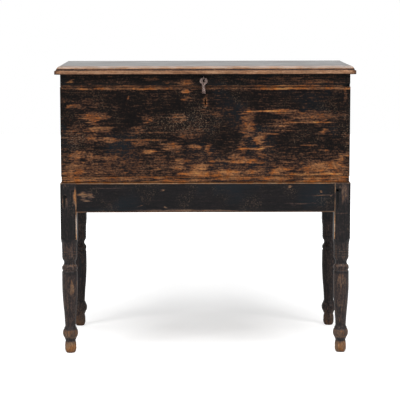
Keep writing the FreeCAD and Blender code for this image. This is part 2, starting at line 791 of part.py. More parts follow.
def side_section(y):
    """The lid's section across its width, moulded at both ends, flatter towards the back."""
    share = 1 - (1 - side_fade_share) * (y - lid_front_y) / lid_depth
    right = moulding(lid_half, -1, share, y)
    left = moulding(-lid_half, 1, share, y)
    inset = moulding_width * share
    top = Part.makeLine(
        FreeCAD.Vector(lid_half - inset, y, lid_top), FreeCAD.Vector(inset - lid_half, y, lid_top)
    )
    foot = lip_round * share
    under = Part.makeLine(
        FreeCAD.Vector(foot - lid_half, y, skirt_top), FreeCAD.Vector(lid_half - foot, y, skirt_top)
    )
    return Part.Wire(Part.__sortEdges__(right + [top] + left + [under]))


def front_section():
    """The lid's section across its depth, moulded at the front, turned to lie along Y."""
    edges = moulding(lid_front_y, 1, 1, 0)
    end = lid_back_y + overrun
    top = Part.makeLine(
        FreeCAD.Vector(lid_front_y + moulding_width, 0, lid_top), FreeCAD.Vector(end, 0, lid_top)
    )
    back = Part.makeLine(FreeCAD.Vector(end, 0, lid_top), FreeCAD.Vector(end, 0, skirt_top))
    under = Part.makeLine(
        FreeCAD.Vector(end, 0, skirt_top), FreeCAD.Vector(lid_front_y + lip_round, 0, skirt_top)
    )
    wire = Part.Wire(Part.__sortEdges__(edges + [top, back, under]))
    face = Part.Face(wire)
    face.rotate(FreeCAD.Vector(0, 0, 0), FreeCAD.Vector(0, 0, 1), 90)
    return face


front_form = front_section()
front_form.translate(FreeCAD.Vector(-lid_half - overrun, 0, 0))
front_form = front_form.extrude(FreeCAD.Vector((lid_half + overrun) * 2, 0, 0))
side_form = Part.makeLoft([side_section(lid_front_y - overrun), side_section(lid_back_y + overrun)], True, True)
plan_height = lid_thickness + 2 * overrun
board_zs = (skirt_top - overrun, lid_top + overrun)
plan = block((-lid_half, lid_half), (lid_front_y, lid_back_y), board_zs)
corner_edges = []
for edge in plan.Edges:
    middle = edge.CenterOfMass
    if abs(middle.y - lid_front_y) < overrun and abs(edge.Length - plan_height) < overrun:
        corner_edges.append(edge)
plan = plan.makeFillet(lid_corner_radius, corner_edges)
lid_holes = group(lid_nail_set)
for name, ys in (
    ("lid_front_board", (lid_front_y - overrun, lid_joint_y)),
    ("lid_back_board", (lid_joint_y, lid_back_y + overrun)),
):
    bounds = block((-lid_half - overrun, lid_half + overrun), ys, board_zs)
    shape = plan.common(bounds).common(front_form).common(side_form)
    nodes[name] = shape.cut(lid_holes).removeSplitter()
nodes["lid_nails"] = lid_holes

# Keeper under the front skirt: a plate with a loop that goes down into the lock
keeper_mid_y = bolt_mid_y
keeper_ys = (keeper_mid_y - keeper_width / 2, keeper_mid_y + keeper_width / 2)
keeper_bed = block((keeper_left, keeper_right), keeper_ys, (skirt_bottom, skirt_bottom + lock_sheet))
loop_low = skirt_bottom - loop_drop
loop_ys = (keeper_mid_y - loop_width / 2, keeper_mid_y + loop_width / 2)
loop = block((loop_x, loop_x + loop_wire), loop_ys, (loop_low, skirt_bottom))
loop_eye = block(
    (loop_x - overrun, loop_x + loop_wire + overrun),
    (loop_ys[0] + loop_wall, loop_ys[1] - loop_wall),
    (loop_low + loop_foot, skirt_bottom),
)
keeper_screws = []
for x in (keeper_left + keeper_screw_margin, keeper_right - keeper_screw_margin):
    seat = (x, keeper_mid_y, skirt_bottom)
    keeper_screws.append(
        screw(
            seat, (0, 0, 1), keeper_screw_length, lock_screw_shank, lock_screw_head, lock_screw_head_height
        )
    )
keeper_screw_set = group(keeper_screws)
nodes["lock_keeper"] = keeper_bed.fuse(loop.cut(loop_eye)).removeSplitter().cut(keeper_screw_set)
nodes["keeper_screws"] = keeper_screw_set

# Staple: bent wire driven into the front skirt, with the bar of the hasp's eye inside its bend
pivot_z = skirt_top - hasp_bar_drop
pivot_y = case_front_y - hasp_gap - hasp_thickness / 2
bar_low = pivot_z - hasp_bar / 2
leg_low_z = bar_low - staple_seat - staple_wire
leg_high_z = leg_low_z + 2 * staple_bend
bend_y = pivot_y
bend_mid_z = leg_low_z + staple_bend
leg_inner_y = skirt_front_y + staple_leg
wire_path = Part.Wire([
    Part.makeLine(
        FreeCAD.Vector(hasp_x, leg_inner_y, leg_low_z), FreeCAD.Vector(hasp_x, bend_y, leg_low_z)
    ),
    Part.Arc(
        FreeCAD.Vector(hasp_x, bend_y, leg_low_z),
        FreeCAD.Vector(hasp_x, bend_y - staple_bend, bend_mid_z),
        FreeCAD.Vector(hasp_x, bend_y, leg_high_z),
    ).toShape(),
    Part.makeLine(
        FreeCAD.Vector(hasp_x, bend_y, leg_high_z), FreeCAD.Vector(hasp_x, leg_inner_y, leg_high_z)
    ),
])
leg_end = FreeCAD.Vector(hasp_x, leg_inner_y, leg_low_z)
ring = Part.makeCircle(staple_wire, leg_end, FreeCAD.Vector(0, -1, 0))
staple = wire_path.makePipeShell([Part.Wire(ring)], True, True)
nodes["hasp_staple"] = staple

# Hasp: a forged eye, a waisted shank and a curled end
eye_top = pivot_z + hasp_bar / 2
eye_mid = eye_top - eye_height / 2
hasp_back = pivot_y + hasp_thickness / 2
eye_plate = Part.Ellipse(FreeCAD.Vector(0, 0, 0), eye_width / 2, eye_height / 2).toShape()
eye_plate = Part.Face(Part.Wire(eye_plate))
eye_plate.rotate(FreeCAD.Vector(0, 0, 0), FreeCAD.Vector(1, 0, 0), 90)
eye_plate.translate(FreeCAD.Vector(hasp_x, hasp_back, eye_mid))
eye_plate = eye_plate.extrude(FreeCAD.Vector(0, -hasp_thickness, 0))
shank_top = eye_mid - eye_height / 4
waist_z = shank_top - shank_length / 2
shank_low = shank_top - shank_length


def shank_edge(side):
    """One long edge of the shank, drawn in at the waist."""
    return Part.Arc(
        FreeCAD.Vector(hasp_x + side * shank_top_width / 2, hasp_back, shank_top),
        FreeCAD.Vector(hasp_x + side * shank_waist_width / 2, hasp_back, waist_z),
        FreeCAD.Vector(hasp_x + side * shank_end_width / 2, hasp_back, shank_low),
    ).toShape()


shank_ends = [
    Part.makeLine(
        FreeCAD.Vector(hasp_x - width / 2, hasp_back, z), FreeCAD.Vector(hasp_x + width / 2, hasp_back, z)
    )
    for width, z in ((shank_top_width, shank_top), (shank_end_width, shank_low))
]
shank_wire = Part.Wire(Part.__sortEdges__([shank_edge(-1), shank_edge(1)] + shank_ends))
shank = Part.Face(shank_wire).extrude(FreeCAD.Vector(0, -hasp_thickness, 0))
curl = rod(
    (hasp_x - curl_length / 2, hasp_back - curl_radius, shank_low), (1, 0, 0), curl_length, curl_radius
)
eye_slot = block(
    (hasp_x - eye_slot_width / 2, hasp_x + eye_slot_width / 2),
    (hasp_back + overrun, hasp_back - hasp_thickness - overrun),
    (bar_low - eye_slot_height, bar_low),
)
nodes["hasp"] = eye_plate.multiFuse([shank, curl]).removeSplitter().cut(eye_slot)

# Skirt pieces, cut for what is driven or let into them
driven = group(skirt_nails)
skirt_front = skirt_front.common(skirt_form).cut(chip)
skirt_back = skirt_back.common(skirt_form)
skirt_front = skirt_front.cut(driven).cut(lid_holes)
skirt_back = skirt_back.cut(driven).cut(lid_holes)
nodes["lid_front_skirt"] = skirt_front.cut(keeper_bed).cut(keeper_screw_set).cut(staple)
nodes["lid_back_skirt"] = skirt_back.cut(group(back_skirt_cuts)).cut(group(lid_screws))
nodes["lid_left_skirt"] = skirt_left.common(skirt_form).cut(driven).cut(lid_holes)
nodes["lid_right_skirt"] = skirt_right.common(skirt_form).cut(driven).cut(lid_holes)
nodes["skirt_nails"] = group(skirt_nails)

# One file for each node
os.makedirs("parts", exist_ok=True)
for name, shape in nodes.items():
    shape.exportStep("parts/" + name + ".step")
    print(name, len(shape.Solids), shape.isValid(), round(shape.Volume / 1000, 2))
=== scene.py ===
import bpy
import bmesh
import math
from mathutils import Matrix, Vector

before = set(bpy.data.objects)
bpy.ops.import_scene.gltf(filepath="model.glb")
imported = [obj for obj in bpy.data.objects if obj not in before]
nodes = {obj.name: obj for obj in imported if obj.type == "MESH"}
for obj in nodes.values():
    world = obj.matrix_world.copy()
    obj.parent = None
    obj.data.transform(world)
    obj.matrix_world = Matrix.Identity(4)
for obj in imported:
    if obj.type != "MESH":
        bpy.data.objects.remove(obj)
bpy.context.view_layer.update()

# Sugar chest on a turned stand, in old black paint worn through to brown wood.
# Metres. +X to the right, -Y to the front, +Z up, origin under the middle at the floor.

MM = 0.001

# Heights of the solids, and the unpainted room inside the case. Its half width ends 0.7 mm short of the end
# boards, so their inner faces show paint
STAND_TOP = 0.531
CASE_TOP = 0.825
LID_UNDERSIDE = 0.863
LID_TOP = 0.888
INSIDE_MIDDLE_Y = 0.010
INSIDE_HALF_DEPTH = 0.2043
INSIDE_HALF_WIDTH = 0.4203

# Where the front faces stand that carry placed wear
CASE_FRONT = -0.214
SKIRT_FRONT = -0.213
RAIL_FRONT = -0.217
POST_FRONT = -0.219


def colour(text):
    """An sRGB hex colour as the linear values that a shader takes."""
    values = []
    for start in (0, 2, 4):
        part = int(text[start:start + 2], 16) / 255
        values.append(part / 12.92 if part <= 0.04045 else ((part + 0.055) / 1.055) ** 2.4)
    return (*values, 1.0)


def add(tree, kind, sockets=(), out=0, stops=(), **settings):
    """Adds a node with its settings, its sockets set or joined, and any colour stops, and gives an output.

    Sockets are given in order, or by name or number. A Mix has its share at 0, values at 2 and 3, colours
    at 6 and 7.
    """
    item = tree.nodes.new("ShaderNode" + kind)
    for name, value in settings.items():
        setattr(item, name, value)
    pairs = sockets.items() if isinstance(sockets, dict) else enumerate(sockets)
    for name, value in pairs:
        if isinstance(value, bpy.types.NodeSocket):
            tree.links.new(value, item.inputs[name])
        else:
            item.inputs[name].default_value = value
    for index, (place, tone) in enumerate(stops):
        bar = item.color_ramp.elements
        stop = bar[index] if index < 2 else bar.new(place)
        stop.position = place
        stop.color = tone if isinstance(tone, tuple) else (tone, tone, tone, 1)
    return item.outputs[out] if item.outputs else item


def material(name):
    """A material with nothing in it yet, and its tree."""
    made = bpy.data.materials.new(name)
    made.use_nodes = True
    made.node_tree.nodes.clear()
    return made, made.node_tree


SOFT = {"interpolation_type": "SMOOTHSTEP"}
TINT = {"out": 2, "data_type": "RGBA"}

# Marks placed on the front, in mm: middle X and Z, half size along X and Z, turn in degrees, and strength.
# PLACES are worn patches with outlines ragged along the grain, where 1 shows mostly wood and 1.5 is bare.
# SPLITS are worn lines and rims with even outlines, SCUFFS are specks, and CRACKS are dark holes and cracks.
PATCH_SPREAD = 1.6
PATCH_DEPTH = 14 * MM
PATCH_CORE = 0.55
CASE_PLACES = [
    (-401, 767, 27, 6.7, 0, 0.75), (-339, 736, 39, 10.6, 0, 0.85), (-338, 721, 9, 18.3, 35, 0.9),
    (-323, 697, 32, 8.5, 0, 1.0), (-346, 669, 18, 15.3, 0, 0.75), (-299, 663, 27, 10.7, 0, 0.7),
    (-388, 617, 26, 12.2, 0, 0.95), (-345, 611, 17, 12.2, 0, 0.8), (-296, 608, 27, 7.7, 0, 0.8),
    (-394, 577, 24, 24.5, 0, 0.85), (-422, 562, 15, 12.3, 0, 1.0), (-315, 574, 61, 21.5, 0, 0.55),
    (-207, 693, 27, 11, -30, 0.5), (-177, 724, 12, 9.1, -20, 0.7), (-202, 652, 21, 6.1, 0, 0.75),
    (-168, 627, 19, 6.3, 0, 1.2), (-104, 642, 27, 12.2, 10, 0.85), (-36, 641, 20, 6.1, 0, 0.95),
    (-86, 730, 24, 13.7, 0, 0.7), (-46, 686, 43, 18.3, 0, 0.5), (-77, 599, 26, 9.2, 0, 0.95),
    (-80, 579, 27, 4.9, 0, 1.1), (-16, 579, 27, 10.7, 0, 1.1), (-31, 560, 49, 8, 0, 1.25),
    (-152, 571, 15, 3.7, 0, 0.85), (-147, 606, 18, 6.1, 0, 0.65), (-58, 789, 10, 7.9, 0, 0.8),
    (240, 748, 55, 9.1, 3, 0.75), (337, 733, 70, 16, 0, 0.7), (130, 724, 18, 27.4, 0, 0.8),
    (127, 687, 18, 18.3, 0, 0.85), (167, 666, 14, 16.8, 0, 1.1), (169, 623, 8, 24.5, 0, 0.8),
    (114, 632, 8, 27.5, 0, 0.75), (94, 611, 27, 7.7, 0, 0.95), (116, 597, 52, 6.1, 0, 1.1),
    (64, 566, 38, 9.8, 0, 1.15), (134, 563, 32, 7.7, 0, 1.1), (55, 554, 58, 4.3, 0, 1.1),
    (226, 568, 37, 9.2, -12, 1.1), (360, 580, 64, 15.3, -5, 1.1), (421, 608, 18, 10.7, -15, 1.15),
    (305, 562, 8, 18.4, 0, 1.0), (169, 577, 9, 24.5, 0, 0.75), (362, 690, 11, 7.6, 0, 0.8),
    (3, 635, 9, 13.8, 0, 0.95), (36, 599, 21, 4, 0, 0.95), (0, 752, 10, 5, 0, 0.5),
    (397, 565, 43, 12.3, 0, 0.8), (242, 714, 40, 14, 0, 0.5), (-380, 680, 45, 30, 0, 0.45),
    (430, 660, 9, 20, 0, 0.5), (-250, 570, 170, 20, 0, 0.45), (-63, 812, 13, 4, 0, 1.1),
    (-370, 770, 55, 22, 0, 0.3), (150, 600, 160, 30, 0, 0.25),
    (-214, 819, 90, 2.2, 0, 1.2), (250, 819, 90, 2.4, 0, 1.5),
]
CASE_SPLITS = [
    (-195, 663, 61, 2.4, 0, 1), (173, 750, 52, 2, 0, 1), (322, 716, 64, 2, 0, 1),
    (198, 681, 21, 2.4, 0, 1.1), (189, 642, 17, 2.2, 0, 1.2), (143, 636, 34, 2.4, 0, 1.1),
    (314, 647, 21, 2.1, 0, 0.9), (363, 631, 15, 2.1, 0, 0.9), (219, 691, 37, 2.1, 0, 0.9),
    (219, 705, 37, 2.1, 0, 0.7), (342, 557, 98, 2.8, 0, 1), (-147, 686, 30, 2.1, 0, 0.6),
    (15, 742, 24, 2.1, 0, 0.5), (-234, 792, 2, 5, 20, 1.0), (426, 800, 4, 24.3, 0, 0.6),
    (0, 779, 6, 12, 0, 1.1), (3, 768, 5, 4, 0, 0.9),
]
CASE_CRACKS = [(0, 779, 2.0, 8, 0, 3.0)]
CASE_SCUFFS = [
    (-60, 715, 85, 27, 0, 0.5), (427, 690, 9, 62, 0, 0.5), (-397, 665, 31, 25, 0, 0.45),
    (-22, 748, 26, 26, 0, 0.4),
]
SKIRT_PLACES = [
    (-164, 848, 24, 3.9, 0, 0.8), (-108, 839, 12, 4.5, 0, 0.7), (-63, 839, 21, 7.3, 0, 0.95),
    (348, 839, 61, 6.1, 0, 0.75), (-410, 842, 5, 3.6, 30, 1.2), (136, 845, 30, 3, 0, 0.5),
    (-289, 839, 36, 4.5, 0, 0.4), (290, 845, 130, 12, 0, 0.4), (-214, 826.5, 90, 1.3, 0, 1.0),
    (250, 826.5, 90, 1.3, 0, 1.3),
]
SKIRT_CRACKS = [(431, 827, 10, 4.5, 0, 2.2)]
RAIL_PLACES = [
    (-378, 496, 9, 8, 20, 0.9), (-357, 494, 7, 9, -30, 0.8), (-373, 478, 10, 4, 10, 0.8),
    (-209, 461, 4, 2.8, 0, 0.9), (-129, 510, 4, 2.8, 0, 0.9), (-111, 457, 5, 2.8, 0, 0.9),
    (253, 519, 4, 2.8, 0, 0.9), (352, 492, 30, 1.6, 0, 0.75), (353, 505, 2.2, 1.9, 0, 1.1),
    (391, 491, 2.4, 2.4, 0, 1.0), (-62, 445, 153, 3.5, 0, 0.7), (291, 466, 37, 2, 0, 0.45),
    (-291, 516, 49, 2, 0, 0.45),
]
POST_PLACES = [
    (-414, 322, 13, 20, 0, 0.5), (-411, 202, 8, 20, 0, 0.85), (-396, 490, 7, 24.6, 0, 1.1),
    (426, 505, 9, 30.8, 0, 0.65), (409, 519, 6, 6.2, 0, 0.6), (-425, 520, 9, 4.6, 0, 0.5),
    (419, 225, 18, 16, 0, 0.7), (414, 110, 5, 7, 0, 1.0), (420, 160, 14, 40, 0, 0.5),
]
POST_SPLITS = [
    (-396.2, 395, 0.8, 50, 0, 2.4), (396.2, 395, 0.8, 50, 0, 2.3), (419, 437, 24, 1, 0, 0.5),
    (396.6, 512, 0.9, 16, 0, 1.2), (396.6, 465, 0.9, 20, 0, 1.2), (-431, 473, 7, 17, 0, 0.85),
]
POST_CRACKS = [
    (405, 486, 2.6, 26, 0, 3.0), (407, 508.5, 6.5, 5, 0, 2.5), (-430, 489, 5, 4, 0, 2.5),
    (-431.5, 473, 3, 13, 0, 2.5),
]


def patches(tree, where, places, front):
    """How strongly the placed marks show at each spot of a front face, full in their cores and fading out."""
    total = None
    for x, z, wide, high, turn, amount in places:
        sockets = {
            "Vector": where, "Location": (x * MM, front, z * MM), "Rotation": (0, math.radians(turn), 0),
            "Scale": (wide * MM * PATCH_SPREAD, PATCH_DEPTH, high * MM * PATCH_SPREAD),
        }
        local = add(tree, "Mapping", sockets, vector_type="TEXTURE")
        fade = add(tree, "TexGradient", (local,), out=1, gradient_type="SPHERICAL")
        part = add(tree, "MapRange", (fade, 0.0, PATCH_CORE, 0.0, amount))
        total = part if total is None else add(tree, "Math", (total, part), operation="MAXIMUM")
    return total


def grain(tree, where, along, length, height, detail=3.0, seed=0.0):
    """Noise drawn out along the grain, with marks of that length and height in mm. The seed only moves it."""
    scale = [1 / (height * MM)] * 3
    scale["XYZ".index(along)] = 1 / (length * MM)
    mapped = add(tree, "Mapping", {"Vector": where, "Location": (seed, seed, seed), "Scale": scale})
    return add(tree, "TexNoise", {"Vector": mapped, "Scale": 1.0, "Detail": detail, "Roughness": 0.6})


# From black paint over thin brown paint to bare wood, by how far the wear goes beyond the grain, 0 to 1
BROWN_WOOD = (
    ("0a0808", 0.14), ("17110e", 0.26), ("2b1d17", 0.34), ("432d21", 0.42), ("5c3e2a", 0.52),
    ("775033", 0.64), ("90623a", 0.78), ("a97a45", 0.92),
)
# For the lid: its two palest stops are grey-pink, bare wood with a painted sheen, taken by the rubbed nosing
TAN_WOOD_AND_NOSING_SHEEN = (
    ("121111", 0.14), ("1c1614", 0.26), ("33241c", 0.34), ("54392a", 0.42), ("745540", 0.52),
    ("917057", 0.64), ("8f7d72", 0.78), ("92857d", 0.92),
)
GREY_WOOD = (
    ("101011", 0.14), ("191617", 0.26), ("2b2322", 0.34), ("41332d", 0.42), ("5d4839", 0.52),
    ("7c6047", 0.64), ("9b7c5f", 0.78), ("b99a77", 0.92), ("dccbc0", 1.0),
)
AMBER_STAIN = colour("ffddb4")
BLUE_CAST = colour("121c22")
SCUFF_TAN = colour("806a56")
CRACK_BLACK = colour("050404")
RAW_WOOD = colour("95744f")
RAW_GRAIN = colour("6b4e34")
RAW_DIRT = colour("4a3626")
POPLAR_DIRT = colour("5d4631")


def worn_paint(name, along, wear, placed=(), splits=(), front=0.0, raw=None, wood=BROWN_WOOD, cloudy=0.4,
               marks=(0.10, 1.1), shine=0.08, satin=0.42, stained=1.0, scuffs=(), cracks=(), waxed=None):
    """Satin black oil paint, brushed on softwood and worn off in short dashes where the hard grain stands.

    The eye sees soft black with blue and brown casts, thin brown paint round each worn place, and bare wood
    in broken dashes along the grain. wear, raw and waxed are functions (tree, x, y, z) that say where it is
    rubbed, where it was never painted and where it is polished. cloudy is how far soft clouds of wear go,
    marks how far the grain holds paint between its dashes and on them, shine the specular level, satin the
    roughness of sound paint, and stained how amber the wood is in spots.
    """
    made, tree = material(name)
    place = add(tree, "TexCoord", out="Object")
    x, y, z = add(tree, "SeparateXYZ", (place,)).node.outputs

    # Ragged outlines: each line of the grain, about 7 mm high, is shifted by up to some 25 mm along itself
    drift = (0.012, 0.0, 0.080) if along == "Z" else (0.080, 0.0, 0.016)
    shift = grain(tree, place, along, 60, 7, 3.0, 11.3).node.outputs[1]
    shift = add(tree, "VectorMath", (shift, (0.5, 0.5, 0.5)), operation="SUBTRACT")
    shift = add(tree, "VectorMath", (shift, drift), operation="MULTIPLY")
    shifted = add(tree, "VectorMath", (place, shift), operation="ADD")

    # How well the grain holds its paint: dashes 26 mm long and 4.2 mm high, hairs 80 mm long, and flecks of
    # 6 mm that break them up. Real grain lines are finer, and these are drawn as coarse as they need to show
    streak = grain(tree, place, along, 26, 4.2, 3.0)
    hair = grain(tree, place, along, 80, 3, 2.0, 3.7)
    fleck = grain(tree, place, along, 6, 4, 3.0, 7.1)
    paint = add(tree, "Math", (streak, 1.10), operation="MULTIPLY")
    paint = add(tree, "Math", (hair, 0.80, paint), operation="MULTIPLY_ADD")
    paint = add(tree, "Math", (fleck, 1.20, paint), operation="MULTIPLY_ADD")
    paint = add(tree, "MapRange", (paint, 1.25, 1.85, *marks))

    # Wear: clouds 110 mm across, the placed patches, the rubbed edges and the worn lines
    cloud = add(tree, "TexNoise", {"Vector": place, "Scale": 1 / (111 * MM), "Detail": 4.0, "Roughness": 0.6})
    worn = add(tree, "MapRange", (cloud, 0.40, 0.75, 0.0, cloudy), **SOFT)
    if placed:
        worn = add(tree, "Math", (worn, patches(tree, shifted, placed, front)), operation="MAXIMUM")
    worn = add(tree, "Math", (worn, wear(tree, x, y, z)), operation="MAXIMUM")
    if splits:
        lines = patches(tree, place, splits, front)
        worn = add(tree, "Math", (lines, 0.8, worn), operation="MULTIPLY_ADD")
    reach = add(tree, "Math", (worn, paint), operation="SUBTRACT")
    level = add(tree, "MapRange", (reach, -1.0, 1.5))
    surface = add(tree, "ValToRGB", (level,), stops=[(spot, colour(text)) for text, spot in wood])
    bare = add(tree, "MapRange", (reach, -0.1, 0.5), **SOFT)

    # Wood lighter and darker along the grain, amber in spots of 30 mm, and a blue cast on parts of the paint
    tones = grain(tree, place, along, 60, 6, 4.0, 5.3)
    tones = add(tree, "MapRange", (tones, 0.35, 0.65, 0.72, 1.18))
    tones = add(tree, "Mix", {0: bare, 2: 1.0, 3: tones})
    surface = add(tree, "VectorMath", {0: surface, "Scale": tones}, operation="SCALE")
    stain = add(tree, "TexNoise", {"Vector": place, "Scale": 1 / (31.25 * MM), "Detail": 2.0})
    stain = add(tree, "MapRange", (stain, 0.42, 0.62, 0.0, stained), **SOFT)
    stain = add(tree, "Math", (stain, bare), operation="MULTIPLY")
    surface = add(tree, "Mix", {0: stain, 6: surface, 7: AMBER_STAIN}, blend_type="MULTIPLY", **TINT)
    cast = add(tree, "TexNoise", {"Vector": place, "Scale": 1 / (167 * MM), "Detail": 3.0})
    cast = add(tree, "MapRange", (cast, 0.51, 0.65, 0.0, 0.6))
    cast = add(tree, "Math", (cast, add(tree, "MapRange", (reach, -0.2, -0.5))), operation="MULTIPLY")
    surface = add(tree, "Mix", {0: cast, 6: surface, 7: BLUE_CAST}, **TINT)

    # Scuffs: grey-tan specks 5 mm long, thick in zones 70 mm across and at the placed scuffs. Then cracks
    speck = grain(tree, place, along, 5, 3.4, 2.0, 9.1)
    zone = add(tree, "TexNoise", {"Vector": place, "Scale": 1 / (71.4 * MM), "Detail": 2.0})
    zone = add(tree, "MapRange", (zone, 0.46, 0.68, 0.0, 0.22), **SOFT)
    if scuffs:
        zone = add(tree, "Math", (zone, patches(tree, shifted, scuffs, front)), operation="MAXIMUM")
    scuff = add(tree, "Math", (zone, add(tree, "MapRange", (speck, 0.54, 0.68))), operation="MULTIPLY")
    surface = add(tree, "Mix", {0: scuff, 6: surface, 7: SCUFF_TAN}, **TINT)
    if cracks:
        gap = patches(tree, place, cracks, front)
        surface = add(tree, "Mix", {0: gap, 6: surface, 7: CRACK_BLACK}, **TINT)

    # Bare wood is duller than paint, raw wood duller still, and the polished top smoother
    rough = add(tree, "MapRange", (bare, 0.0, 1.0, satin, 0.66))
    rough = add(tree, "Math", (paint, 0.08, rough), operation="MULTIPLY_ADD")
    if raw:
        inside = raw(tree, x, y, z)
        dry = add(tree, "Mix", {0: paint, 6: RAW_WOOD, 7: RAW_GRAIN}, **TINT)
        dirt = add(tree, "MapRange", (cloud, 0.38, 0.72, 0.0, 0.45), **SOFT)
        dry = add(tree, "Mix", {0: dirt, 6: dry, 7: RAW_DIRT}, **TINT)
        surface = add(tree, "Mix", {0: inside, 6: surface, 7: dry}, **TINT)
        dull = add(tree, "Math", (inside, 0.75), operation="MULTIPLY")
        rough = add(tree, "Math", (rough, dull), operation="MAXIMUM")
    if waxed:
        top = waxed(tree, x, y, z)
        polish = add(tree, "MapRange", (cloud, 0.3, 0.7, 0.27, 0.40))
        rough = add(tree, "Mix", {0: top, 2: rough, 3: polish})
        shine = add(tree, "MapRange", (top, 0.0, 1.0, shine, 0.65))
    relief = add(tree, "Math", (bare, -0.6, paint), operation="MULTIPLY_ADD")
    bump = add(tree, "Bump", {"Height": relief, "Distance": 0.0004, "Strength": 0.4})
    sockets = {"Base Color": surface, "Roughness": rough, "Normal": bump, "Specular IOR Level": shine}
    add(tree, "OutputMaterial", (add(tree, "BsdfPrincipled", sockets),))
    return made


def inside_case(tree, x, y, z):
    """1 on the unpainted wood between the end boards, inside the case."""
    across = add(tree, "Math", (x, 0.0), operation="ABSOLUTE")
    across = add(tree, "Math", (across, INSIDE_HALF_WIDTH), operation="LESS_THAN")
    deep = add(tree, "Math", (y, INSIDE_MIDDLE_Y), operation="SUBTRACT")
    deep = add(tree, "Math", (deep, 0.0), operation="ABSOLUTE")
    deep = add(tree, "Math", (deep, INSIDE_HALF_DEPTH), operation="LESS_THAN")
    return add(tree, "Math", (across, deep), operation="MULTIPLY")


def under_lid(tree, x, y, z):
    """1 on the unpainted wood under the lid."""
    low = add(tree, "Math", (z, LID_UNDERSIDE + 0.0002), operation="LESS_THAN")
    return add(tree, "Math", (low, inside_case(tree, x, y, z)), operation="MULTIPLY")


def case_wear(tree, x, y, z):
    """The case: a rubbed brim 8 mm high in stretches of 140 mm, and thin brown paint in the lower half. The
    brim's top 2 mm, the rounding under the lid, is kept darker as painted shade of the joint.
    """
    low = add(tree, "MapRange", (z, 0.700, 0.560, 0.0, 0.50), **SOFT)
    around = add(tree, "CombineXYZ", (x, y, 0.0))
    rubbed = add(tree, "TexNoise", {"Vector": around, "Scale": 1 / (143 * MM), "Detail": 2.0})
    rubbed = add(tree, "MapRange", (rubbed, 0.36, 0.52, 0.45, 1.05), **SOFT)
    brim = add(tree, "MapRange", (z, CASE_TOP - 0.010, CASE_TOP))
    # Rubbed from 816.5 to 821 mm; the top rounding under the lid stays darker, painted shade of the joint
    brim = add(tree, "ValToRGB", (brim,), stops=[(0.0, 0.1), (0.15, 1.0), (0.62, 1.0), (0.78, 0.45)])
    brim = add(tree, "Math", (brim, rubbed), operation="MULTIPLY")
    return add(tree, "Math", (low, brim), operation="MAXIMUM")


def bottom_wear(tree, x, y, z):
    """The bottom boards' edges: both arrises rubbed, and worn stretches of 90 by 11 mm between them."""
    place = add(tree, "CombineXYZ", (x, y, z))
    scale = (1 / (91 * MM), 1 / (91 * MM), 1 / (11.1 * MM))
    stretch = add(tree, "Mapping", {"Vector": place, "Scale": scale})
    parts = add(tree, "TexNoise", {"Vector": stretch, "Scale": 1.0, "Detail": 3.0})
    parts = add(tree, "MapRange", (parts, 0.36, 0.58, 0.4, 1.15), **SOFT)
    off_middle = add(tree, "Math", (z, STAND_TOP + 0.0102), operation="SUBTRACT")
    off_middle = add(tree, "Math", (off_middle, 0.0), operation="ABSOLUTE")
    arrises = add(tree, "MapRange", (off_middle, 0.0050, 0.0080, 0.0, 1.15), **SOFT)
    return add(tree, "Math", (arrises, parts), operation="MAXIMUM")


def skirt_wear(tree, x, y, z):
    """The lid's skirt: rubbed along its lower arris."""
    share = add(tree, "MapRange", (z, CASE_TOP, CASE_TOP + 0.006))
    return add(tree, "ValToRGB", (share,), stops=[
        (0.0, 0.60), (0.12, 0.75), (0.45, 0.75), (0.60, 0.30), (0.80, 0.0),
    ])


def lid_top(tree, x, y, z):
    """1 on the lid's flat top, which hands and cloths have polished."""
    return add(tree, "MapRange", (z, LID_TOP - 0.0008, LID_TOP - 0.0002))


def lid_wear(tree, x, y, z):
    """The lid's edge: lip and nosing bare, most of the paint in the hollow between them and on the top.

    The wear comes and goes in stretches of 125 mm, and is less at the two ends of the lid. The nosing is
    rubbed most and takes the palest grey-pink wood, partly bare wood and partly a painted sheen.
    """
    share = add(tree, "MapRange", (z, LID_UNDERSIDE, LID_TOP))
    # The nosing, 0.84 to 0.98 of the height, is rubbed most and takes the palest grey-pink, partly a painted
    # sheen
    edge = add(tree, "ValToRGB", (share,), stops=[
        (0.0, 0.1), (0.06, 0.35), (0.11, 0.95), (0.43, 1.0), (0.50, 0.36), (0.64, 0.32), (0.71, 1.05),
        (0.84, 1.8), (0.982, 1.7), (0.995, 0.2),
    ])
    around = add(tree, "CombineXYZ", (x, y, 0.0))
    stretch = add(tree, "TexNoise", {"Vector": around, "Scale": 1 / (125 * MM), "Detail": 3.0})
    stretch = add(tree, "MapRange", (stretch, 0.35, 0.65, 0.82, 1.08))
    across = add(tree, "Math", (x, 0.0), operation="ABSOLUTE")
    ends = add(tree, "MapRange", (across, 0.440, 0.452, 1.0, 0.6))
    edge = add(tree, "Math", (edge, stretch), operation="MULTIPLY")
    return add(tree, "Math", (edge, ends), operation="MULTIPLY")


def rail_wear(tree, x, y, z):
    """Rails: rubbed along the lower and the upper arris."""
    low = add(tree, "MapRange", (z, 0.4460, 0.4425, 0.0, 0.75), **SOFT)
    high = add(tree, "MapRange", (z, STAND_TOP - 0.0040, STAND_TOP - 0.0015, 0.0, 1.05), **SOFT)
    return add(tree, "Math", (low, high), operation="MAXIMUM")


